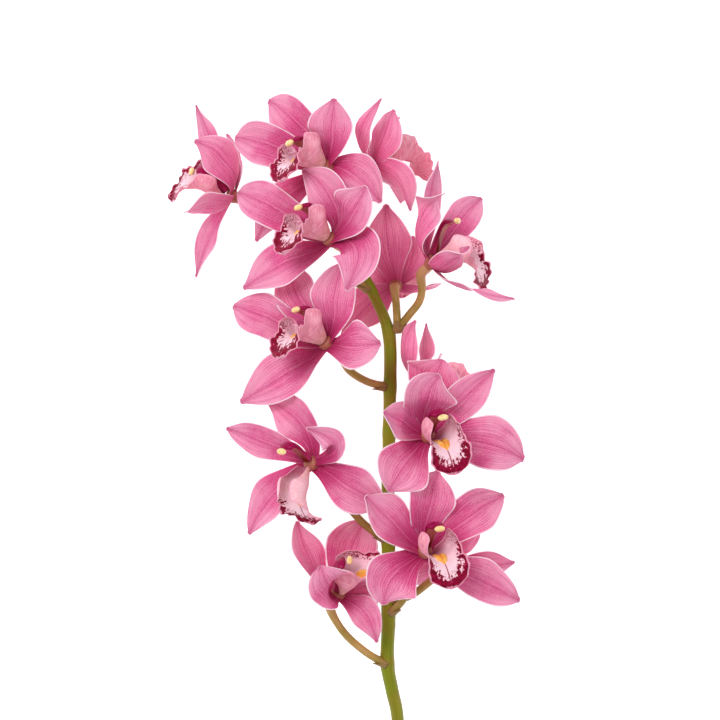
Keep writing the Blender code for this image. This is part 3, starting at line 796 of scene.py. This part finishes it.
def make_lip(bloom, materials):
    """The lip: a trough with erect side lobes, two callus ridges and a waved midlobe."""
    _, _, right = bloom_frame(bloom)
    along = crowd(np.linspace(0, 1, LIP_ROWS + 1), 0.4)
    across = np.linspace(-1, 1, LIP_COLUMNS + 1)[None, :]
    path = lip_path(bloom, along)
    heading = unit(np.gradient(path, axis=0))
    inner = np.cross(heading, right)
    curl = np.radians(smooth_value(LIP_CURLS, along)) * bloom.lip_fold
    curl = np.where(np.abs(curl) < LIP_LEAST_CURL, LIP_LEAST_CURL, curl)[:, None]
    radius = lip_reach(along)[:, None] / curl
    along = along[:, None]
    edge = np.abs(across)
    sideways = radius * np.sin(curl * across)
    lift = radius * (1 - np.cos(curl * across)) + lip_relief(bloom, along, across)
    shift = LOBE_SHIFT * edge**2.5 * bell(along, LOBE_PLACE, 0.10)
    points = (
        path[:, None, :]
        + right * sideways[..., None]
        + inner[:, None, :] * lift[..., None]
        + heading[:, None, :] * shift[..., None]
    )
    thin = 1 - LIP_THINNING * np.maximum(edge**6, ease(0.85, 1.0, along))
    uvs = grid_uvs((across + 1) / 2, along)
    build = Build()
    build.add_sheet(points[:, ::-1], thin * LIP_THICKNESS, uvs, FRONT, BACK)
    keep_bloom_piece(build, bloom, "lip", materials)


def make_column(bloom, material):
    """The arched column, with a hollowed underside, small wings and a hooded end."""
    _, _, right = bloom_frame(bloom)
    shares = np.linspace(0, 1, COLUMN_RINGS)
    path = smooth_path([in_plane(bloom, pair) for pair in COLUMN_ROUTE], shares)
    above = np.cross(unit(np.gradient(path, axis=0)), right)
    close = round_end(shares, COLUMN_ROUND_START, COLUMN_ROUND_LENGTH) * MM
    wide = (smooth_value(COLUMN_HALF_WIDTHS, shares) * close)[:, None]
    deep = (smooth_value(COLUMN_HALF_DEPTHS, shares) * close)[:, None]
    shares = shares[:, None]
    angles = np.linspace(0, math.tau, COLUMN_SIDES, endpoint=False)[None, :]
    under = np.clip(-np.sin(angles), 0, 1)
    hollow = 1 - COLUMN_HOLLOW * under**2 * ease(0.1, 0.4, shares)
    wing = 1 + COLUMN_WING * np.abs(np.cos(angles)) ** 6 * ease(0.4, 0.8, shares)
    out = np.cos(angles) * wide * wing
    rise = np.sin(angles) * deep * hollow
    rings = path[:, None, :] + right * out[..., None] + above[:, None, :] * rise[..., None]
    build = Build()
    build.add_tube(rings, FRONT)
    keep_bloom_piece(build, bloom, "column", [material])


def make_cap(bloom, material):
    """The anther cap: two rounded halves with a groove between them."""
    _, _, right = bloom_frame(bloom)
    end = in_plane(bloom, COLUMN_ROUTE[-1])
    heading = unit(end - in_plane(bloom, COLUMN_ROUTE[-2]))
    above = np.cross(heading, right)
    centre = end + heading * (CAP_RADIUS + CAP_GAP)
    turn = np.linspace(CAP_OPENING, math.pi - CAP_OPENING, CAP_RINGS)[::-1, None]
    angles = np.linspace(0, math.tau, CAP_SIDES, endpoint=False)[None, :]
    x = np.sin(turn) * np.cos(angles)
    y = np.sin(turn) * np.sin(angles)
    z = np.cos(turn) * np.ones_like(angles)
    radius = CAP_RADIUS * (1 - CAP_GROOVE * bell(x, 0, CAP_GROOVE_WIDTH) * ease(-0.6, 0.4, z))
    rings = (
        centre
        + right * (x * radius * CAP_WIDE)[..., None]
        + above * (y * radius * CAP_TALL)[..., None]
        + heading * (z * radius * CAP_TALL)[..., None]
    )
    build = Build()
    build.add_tube(rings, FRONT)
    keep_bloom_piece(build, bloom, "anther_cap", [material])


def tube_rings(path, radii, sides, rib, ribs):
    """Rings of a ribbed tube along a path, turned as little as the path allows."""
    heading = unit(np.gradient(path, axis=0))
    across = np.cross(heading[0], (0.0, 0.0, 1.0))
    if np.linalg.norm(across) < 0.1:
        across = np.cross(heading[0], (1.0, 0.0, 0.0))
    angles = np.linspace(0, math.tau, sides, endpoint=False)
    ribbed = 1 + np.outer(np.broadcast_to(rib, len(path)), np.cos(angles * ribs))
    rings = []
    for point, way, reach in zip(path, heading, radii[:, None] * ribbed):
        across = unit(across - way * (across @ way))
        over = np.cross(across, way)
        ring = np.cos(angles)[:, None] * across + np.sin(angles)[:, None] * over
        rings.append(point + ring * reach[:, None])
    return np.array(rings)


def add_bract(build, bloom):
    """The small dry scale at the foot of a pedicel."""
    foot = at(bloom.pedicel[0])
    heading = unit(at(bloom.pedicel[1]) - foot)
    stem_way = np.array((0.0, 1.0, 0.0))
    inner = unit(stem_way - heading * (stem_way @ heading))
    sideways = np.cross(heading, inner)
    along = np.linspace(0, 1, BRACT_ROWS)[:, None]
    across = np.linspace(-1, 1, BRACT_COLUMNS)[None, :]
    angle = across * math.radians(BRACT_WRAP) * (1 - 0.9 * along**1.4)
    radius = PEDICEL_RADIUS + (0.5 + 0.8 * along**2) * MM
    points = (
        foot
        + heading * (BRACT_LENGTH * along * np.ones_like(across))[..., None]
        + sideways * (np.sin(angle) * radius)[..., None]
        - inner * (np.cos(angle) * radius)[..., None]
    )
    thickness = np.full((BRACT_ROWS, BRACT_COLUMNS), BRACT_THICKNESS)
    build.add_sheet(points, thickness, grid_uvs((across + 1) / 2, along), BRACT_SKIN, BRACT_SKIN)


def add_pedicel(build, bloom):
    """The flower stalk from the stem to the hub, which ends in the ribbed ovary."""
    facing, _, _ = bloom_frame(bloom)
    seat = at(bloom.centre) - facing * (HUB_BACK + PEDICEL_GAP)
    route = [at(place) for place in bloom.pedicel]
    shares = np.linspace(0, 1, PEDICEL_RINGS)
    path = smooth_path([*route, seat - facing * OVARY_LENGTH, seat], shares)
    swell = ease(0.55, 0.85, shares)
    radii = PEDICEL_RADIUS + (OVARY_RADIUS - PEDICEL_RADIUS) * swell
    radii = radii + FOOT_SWELL * bell(shares, 0, FOOT_LENGTH)
    rings = tube_rings(path, radii, PEDICEL_SIDES, OVARY_RIB * swell, OVARY_RIBS)
    build.add_tube(rings, PEDICEL_SKIN)


def make_stem(materials):
    """The flower stem with its pedicels and bracts, as one piece."""
    build = Build()
    shares = np.linspace(0, 1, STEM_RINGS)
    path = smooth_path([at(place) for place in STEM_ROUTE], shares)
    radii = smooth_value(STEM_RADII, shares) * MM
    for bloom in BLOOMS:
        foot = np.linalg.norm(path - at(bloom.pedicel[0]), axis=1)
        radii = radii + NODE_SWELL * bell(foot, 0, NODE_LENGTH)
    scar = np.linalg.norm(path - at(SCAR_PLACE), axis=1)
    radii = radii + SCAR_SWELL * bell(scar, 0, SCAR_LENGTH)
    rings = tube_rings(path, radii, STEM_SIDES, STEM_RIB, STEM_RIBS)
    rings[..., 2] = np.maximum(rings[..., 2], 0.0)
    build.add_tube(rings, STEM_SKIN)
    for bloom in BLOOMS:
        add_pedicel(build, bloom)
        add_bract(build, bloom)
    piece = build.make("fine_stem", materials)
    keep(piece, "stem")


class Nodes:
    """Short ways to wire a material's nodes."""

    def __init__(self, name, roughness, specular):
        self.material = bpy.data.materials.new(name)
        self.material.use_nodes = True
        self.tree = self.material.node_tree
        self.shader = self.tree.nodes["Principled BSDF"]
        self.shader.inputs["Roughness"].default_value = roughness
        self.shader.inputs["Specular IOR Level"].default_value = specular
        uv = self.new("UVMap")
        uv.uv_map = "across_along"
        parts = self.new("SeparateXYZ")
        self.link(uv.outputs[0], parts.inputs[0])
        self.u = parts.outputs[0]
        self.v = parts.outputs[1]
        place = self.new("TexCoord")
        self.place = place.outputs["Object"]

    def new(self, kind):
        return self.tree.nodes.new("ShaderNode" + kind)

    def link(self, start, end):
        self.tree.links.new(start, end)

    def feed(self, socket, value):
        """Gives a socket a number, a colour or another node's output."""
        if isinstance(value, (int, float)):
            socket.default_value = value
        elif isinstance(value, tuple):
            socket.default_value = (*value, 1.0)
        else:
            self.link(value, socket)

    def math(self, operation, *values):
        node = self.new("Math")
        node.operation = operation
        for socket, value in zip(node.inputs, values):
            self.feed(socket, value)
        return node.outputs[0]

    def times(self, a, b):
        return self.math("MULTIPLY", a, b)

    def times_add(self, a, b, c):
        return self.math("MULTIPLY_ADD", a, b, c)

    def less(self, a, b):
        return self.math("SUBTRACT", a, b)

    def from_middle(self):
        """-1 to 1 across the piece, and its distance from the middle."""
        turned = self.times_add(self.u, 2.0, -1.0)
        return turned, self.math("ABSOLUTE", turned)

    def step(self, value, low, high):
        """Smooth step of a value from 0 at low to 1 at high, which may be below low."""
        node = self.new("MapRange")
        node.interpolation_type = "SMOOTHSTEP"
        self.feed(node.inputs["Value"], value)
        node.inputs["From Min"].default_value = min(low, high)
        node.inputs["From Max"].default_value = max(low, high)
        node.inputs["To Min"].default_value = 0.0 if low < high else 1.0
        node.inputs["To Max"].default_value = 1.0 if low < high else 0.0
        return node.outputs["Result"]

    def vector(self, x, y, z=0.0):
        node = self.new("CombineXYZ")
        for socket, value in zip(node.inputs, (x, y, z)):
            self.feed(socket, value)
        return node.outputs[0]

    def noise(self, vector, scale, detail):
        node = self.new("TexNoise")
        self.link(vector, node.inputs["Vector"])
        node.inputs["Scale"].default_value = scale
        node.inputs["Detail"].default_value = detail
        return node.outputs["Fac"]

    def fibres(self, across, along, detail):
        """Noise with so many cells across the piece and along it."""
        cells = self.vector(self.times(self.u, across), self.times(self.v, along))
        return self.noise(cells, 1.0, detail)

    def mix(self, share, a, b):
        node = self.new("Mix")
        node.data_type = "RGBA"
        self.feed(node.inputs[0], share)
        self.feed(node.inputs[6], a)
        self.feed(node.inputs[7], b)
        return node.outputs[2]

    def tint(self, colour, other, mask, share):
        """The colour, turned towards another by a share of a mask."""
        return self.mix(self.times(mask, share), colour, other)

    def colour(self, value):
        self.feed(self.shader.inputs["Base Color"], value)

    def bump(self, height, distance_mm):
        node = self.new("Bump")
        node.inputs["Strength"].default_value = 1.0
        node.inputs["Distance"].default_value = distance_mm * MM
        self.link(height, node.inputs["Height"])
        self.link(node.outputs[0], self.shader.inputs["Normal"])

    def soft(self, weight, radius_mm):
        """Light that spreads inside the petal."""
        self.shader.inputs["Subsurface Weight"].default_value = weight
        self.shader.inputs["Subsurface Radius"].default_value = SPREAD_OF_LIGHT
        self.shader.inputs["Subsurface Scale"].default_value = radius_mm * MM


def tepal_material(name, middle, pale, root, root_and_shade_reach):
    """Pink with fine darker veins, a deep crimson root that is partly painted shade, and a pale margin."""
    n = Nodes(name, 0.55, 0.10)
    _, across = n.from_middle()
    broad = n.noise(n.place, 60.0, 3.0)
    grain = n.noise(n.place, 1500.0, 2.0)
    swing = n.noise(n.vector(n.times(n.u, 5.0), n.times(n.v, 4.0), broad), 1.0, 2.0)
    bent = n.times_add(n.less(swing, 0.5), 0.05, n.u)
    strand = n.vector(n.times(bent, STRANDS_ACROSS), n.times(n.v, 1.8), broad)
    strand = n.noise(strand, 1.0, 2.0)
    wave = n.math("COSINE", n.times(bent, math.tau * VEINS_ACROSS))
    vein = n.times(n.step(wave, 0.1, 1.0), n.step(strand, 0.35, 0.62))
    tone = n.times_add(n.less(broad, 0.5), 1.1, n.v)
    colour = n.mix(n.step(tone, 0.2, 0.85), middle, pale)
    colour = n.tint(colour, middle, n.step(across, 0.6, 0.0), 0.5)
    colour = n.tint(colour, middle, n.step(n.v, 0.86, 1.0), 0.5)
    # Crimson towards the root, reaching further along the middle: partly the tepal's own colour, partly
    # painted shade in the cupped base
    depth = n.times_add(across, 0.16, n.times_add(strand, -0.14, n.v))
    colour = n.tint(colour, root, n.step(depth, root_and_shade_reach, -0.04), 0.95)
    colour = n.tint(colour, PETAL_PALE, n.step(strand, 0.42, 0.28), 0.60)
    colour = n.tint(colour, VEIN_PINK, n.step(strand, 0.48, 0.70), 0.40)
    colour = n.tint(colour, VEIN_PINK, vein, 0.42)
    colour = n.tint(colour, VEIN_PINK, n.step(across, 0.06, 0.01), 0.45)
    fleck = n.times(n.step(grain, 0.48, 0.66), n.step(n.v, 0.1, 0.6))
    colour = n.tint(colour, PETAL_PALE, fleck, 0.34)
    colour = n.tint(colour, VEIN_PINK, n.step(grain, 0.5, 0.34), 0.12)
    margin = n.math("MAXIMUM", n.step(across, 0.935, 0.975), n.step(n.v, 0.982, 1.0))
    margin = n.times(margin, n.step(n.v, 0.08, 0.30))
    n.colour(n.tint(colour, MARGIN_PALE, margin, 0.90))
    height = n.times_add(grain, 0.25, n.times(strand, 0.6))
    n.bump(n.times_add(vein, -0.6, height), 0.22)
    n.soft(0.18, 1.6)
    return n.material


def lip_inner_material(name, crimson):
    """White-pink with a yellow callus, crimson blotches towards the edge and a pink rim."""
    start, slope = crimson
    n = Nodes(name, 0.5, 0.08)
    turned, across = n.from_middle()
    front = n.math("MAXIMUM", n.times_add(n.v, 2.1, -1.02), 0.0)
    squares = n.math("ADD", n.math("POWER", across, 2.0), n.math("POWER", front, 2.0))
    edge = n.math("POWER", squares, 0.5)
    way = n.math("ARCTAN2", front, turned)
    finger = n.noise(n.vector(n.times(way, 9.0), n.times(edge, 5.0)), 1.0, 2.0)
    blotch = n.noise(n.place, 430.0, 1.5)
    speck = n.noise(n.place, 1100.0, 1.0)
    haze = n.noise(n.place, 240.0, 2.0)
    colour = n.mix(haze, LIP_WHITE, LIP_BLUSH)
    colour = n.tint(colour, THROAT_PINK, n.step(n.v, 0.28, 0.06), 0.85)
    lobe = n.times(n.step(across, 0.35, 0.95), n.step(n.v, 0.62, 0.45))
    colour = n.tint(colour, LOBE_PINK, lobe, n.step(speck, 0.42, 0.60))
    forward = n.step(n.v, 0.34, 0.50)
    ragged = n.times_add(blotch, 0.8, n.times_add(finger, 0.7, -0.25))
    reach = n.times_add(n.less(edge, start), slope, ragged)
    halo = n.times(n.step(reach, 0.40, 0.54), forward)
    colour = n.tint(colour, LOBE_PINK, halo, 0.35)
    spot = n.mix(n.step(blotch, 0.4, 0.62), CRIMSON, CRIMSON_DEEP)
    colour = n.tint(colour, spot, n.step(reach, 0.515, 0.545), forward)
    small = n.times(n.step(speck, 0.58, 0.62), n.step(edge, 0.50, 0.75))
    colour = n.tint(colour, CRIMSON, small, n.step(n.v, 0.26, 0.4))
    stripe = n.times(n.step(across, 0.04, 0.02), n.step(n.v, 0.50, 0.56))
    colour = n.tint(colour, CRIMSON, stripe, 0.85)
    ridge = n.times(n.step(across, 0.21, 0.15), n.step(n.v, 0.22, 0.32))
    ridge_end = n.step(n.times_add(across, 0.5, n.v), 0.645, 0.62)
    callus = n.mix(n.step(haze, 0.4, 0.6), CALLUS_YELLOW, CALLUS_ORANGE)
    colour = n.tint(colour, callus, ridge, ridge_end)
    rim = n.math("MAXIMUM", n.step(across, 0.905, 0.95), n.step(n.v, 0.955, 0.98))
    n.colour(n.tint(colour, RIM_PINK, rim, 0.9))
    n.bump(n.times_add(speck, 0.4, haze), 0.12)
    n.soft(0.04, 0.5)
    return n.material


def lip_outer_material(name, skin, vein):
    """The outside of the lip: dusky pink with fine veins, paler at its rim."""
    n = Nodes(name, 0.5, 0.15)
    _, across = n.from_middle()
    strand = n.fibres(34.0, 60.0, 2.0)
    line = n.fibres(9.0, 46.0, 2.0)
    colour = n.mix(n.step(n.v, 0.02, 0.25), OUTER_TAN, skin)
    colour = n.tint(colour, vein, n.step(line, 0.45, 0.62), 0.50)
    colour = n.tint(colour, LIP_BLUSH, n.step(line, 0.44, 0.32), 0.55)
    colour = n.tint(colour, vein, n.step(strand, 0.56, 0.68), 0.35)
    rim = n.math("MAXIMUM", n.step(across, 0.93, 0.98), n.step(n.v, 0.95, 0.99))
    n.colour(n.tint(colour, RIM_PINK, rim, 0.8))
    n.bump(line, 0.15)
    n.soft(0.15, 1.5)
    return n.material


def column_material():
    """Crimson above, tan with brown specks below."""
    n = Nodes("column", 0.35, 0.15)
    height = n.math("SINE", n.times(n.u, math.tau))
    speck = n.noise(n.place, 900.0, 2.0)
    under = n.mix(n.step(n.v, 0.1, 0.6), COLUMN_BROWN, COLUMN_TAN)
    under = n.tint(under, COLUMN_BROWN, n.step(speck, 0.56, 0.64), 0.7)
    over = n.mix(n.step(n.v, 0.02, 0.5), COLUMN_PINK, COLUMN_CRIMSON)
    n.colour(n.mix(n.step(height, -0.75, -0.4), under, over))
    n.bump(speck, 0.05)
    n.soft(0.08, 1.0)
    return n.material


def cap_material():
    """Cream, yellower where it meets the column."""
    n = Nodes("anther_cap", 0.4, 0.4)
    tint = n.noise(n.place, 500.0, 2.0)
    colour = n.mix(n.step(tint, 0.35, 0.65), CAP_CREAM, CAP_PALE)
    n.colour(n.mix(n.step(n.v, 0.30, 0.0), colour, CAP_YELLOW))
    n.bump(tint, 0.06)
    n.soft(0.15, 1.0)
    return n.material


def stem_material():
    """Olive green with lengthwise fibres and brownish patches."""
    n = Nodes("stem_skin", 0.45, 0.15)
    fibre = n.fibres(60.0, 9.0, 4.0)
    patch = n.noise(n.place, 70.0, 3.0)
    pore = n.noise(n.place, 1500.0, 2.0)
    colour = n.mix(n.step(patch, 0.35, 0.65), STEM_GREEN, STEM_OLIVE)
    colour = n.tint(colour, STEM_LIGHT, n.step(fibre, 0.5, 0.7), 0.5)
    colour = n.tint(colour, STEM_BROWN, n.step(fibre, 0.42, 0.3), 0.35)
    n.colour(n.tint(colour, STEM_LIGHT, n.step(pore, 0.6, 0.7), 0.3))
    n.bump(n.times_add(fibre, 0.8, n.times(pore, 0.3)), 0.15)
    return n.material


def pedicel_material():
    """Greenish brown at the foot, warm tan towards the flower."""
    n = Nodes("pedicel_skin", 0.45, 0.35)
    fibre = n.fibres(40.0, 6.0, 3.0)
    patch = n.noise(n.place, 90.0, 2.0)
    colour = n.mix(n.step(patch, 0.35, 0.65), PEDICEL_OLIVE, PEDICEL_TAN)
    colour = n.mix(n.step(n.v, 0.14, 0.0), colour, PEDICEL_FOOT)
    colour = n.mix(n.step(n.v, 0.55, 1.0), colour, PEDICEL_PINK)
    n.colour(n.tint(colour, PEDICEL_PALE, n.step(fibre, 0.5, 0.7), 0.4))
    n.bump(fibre, 0.12)
    return n.material


def bract_material():
    """Dry brown with lengthwise fibres."""
    n = Nodes("bract_skin", 0.6, 0.25)
    fibre = n.fibres(30.0, 3.0, 3.0)
    n.colour(n.mix(fibre, BRACT_DARK, BRACT_LIGHT))
    n.bump(fibre, 0.2)
    return n.material


def hub_material():
    """Dusky pink mottled with tan."""
    n = Nodes("hub_skin", 0.45, 0.35)
    tint = n.noise(n.place, 300.0, 2.0)
    n.colour(n.mix(tint, HUB_PINK, HUB_TAN))
    n.bump(tint, 0.1)
    return n.material


def make_floor():
    """A plain white floor with a glow of its own, so that shadows on it stay faint."""
    bpy.ops.mesh.primitive_plane_add(size=FLOOR_SIZE, location=(0.0, 0.0, 0.0))
    floor = bpy.context.object
    floor.name = "floor"
    n = Nodes("floor_white", 0.9, 0.1)
    n.colour(FLOOR_WHITE)
    n.shader.inputs["Emission Color"].default_value = (1.0, 1.0, 1.0, 1.0)
    n.shader.inputs["Emission Strength"].default_value = FLOOR_GLOW
    floor.data.materials.append(n.material)


def make_light(name, place, size, power):
    """A round soft light that looks at the blooms."""
    lamp = bpy.data.lights.new(name, "AREA")
    lamp.shape = "DISK"
    lamp.size = size
    lamp.energy = power
    holder = bpy.data.objects.new(name, lamp)
    holder.location = place
    aim = Vector(LIGHT_TARGET) - Vector(place)
    holder.rotation_euler = aim.to_track_quat("-Z", "Y").to_euler()
    bpy.context.scene.collection.objects.link(holder)


def make_camera():
    """The camera straight above the stem, which gives the photograph's frame."""
    data = bpy.data.cameras.new("camera")
    data.sensor_width = SENSOR_MM
    data.lens = FOCAL_PIXELS / PHOTO_SIZE * SENSOR_MM
    camera = bpy.data.objects.new("camera", data)
    camera.location = (CAMERA_X, CAMERA_Y, CAMERA_HEIGHT)
    bpy.context.scene.collection.objects.link(camera)
    bpy.context.scene.camera = camera


def make_studio():
    """Camera, sky, lights and floor."""
    make_camera()
    world = bpy.data.worlds.new("soft_world")
    world.use_nodes = True
    sky = world.node_tree.nodes["Background"]
    sky.inputs["Color"].default_value = (1.0, 1.0, 1.0, 1.0)
    sky.inputs["Strength"].default_value = SKY_GLOW
    bpy.context.scene.world = world
    bpy.context.scene.view_settings.view_transform = "Standard"
    make_light("key", place=(-0.7, 0.75, 1.7), size=0.9, power=22.0)
    make_light("fill", place=(0.9, -0.3, 1.6), size=1.4, power=7.0)
    make_floor()


def main():
    """Builds the studio, the blooms and the stem."""
    make_studio()
    tepal_looks = [
        # The front's root colour reaches about half way up the tepal, partly as painted shade
        tepal_material("tepal_front", PETAL_PINK, PETAL_PALE, PETAL_ROOT_AND_SHADE, root_and_shade_reach=0.54),
        # The backs get a lighter copy of the tepal look: painted light that lifts the shade on them
        tepal_material("tepal_back", BACK_PINK_PAINTED_LIGHTER, BACK_PALE_PAINTED_LIGHTER, BACK_ROOT_PAINTED_LIGHTER, root_and_shade_reach=0.35),
        hub_material(),
    ]
    lip_inner = lip_inner_material("lip_inner", CRIMSON_NARROW)
    lip_inner_crimson = lip_inner_material("lip_inner_crimson", CRIMSON_WIDE)
    lip_outer = lip_outer_material("lip_outer", skin=OUTER_PINK, vein=LOBE_PINK)
    lip_outer_pale = lip_outer_material("lip_outer_pale", skin=OUTER_PALE, vein=OUTER_PINK)
    column_look = column_material()
    cap_look = cap_material()
    for bloom in BLOOMS:
        make_tepals(bloom, tepal_looks)
        inner = lip_inner_crimson if bloom.name in CRIMSON_LIPS else lip_inner
        outer = lip_outer_pale if bloom.name in PALE_LIPS else lip_outer
        make_lip(bloom, [inner, outer])
        make_column(bloom, column_look)
        make_cap(bloom, cap_look)
    make_stem([stem_material(), pedicel_material(), bract_material()])


main()
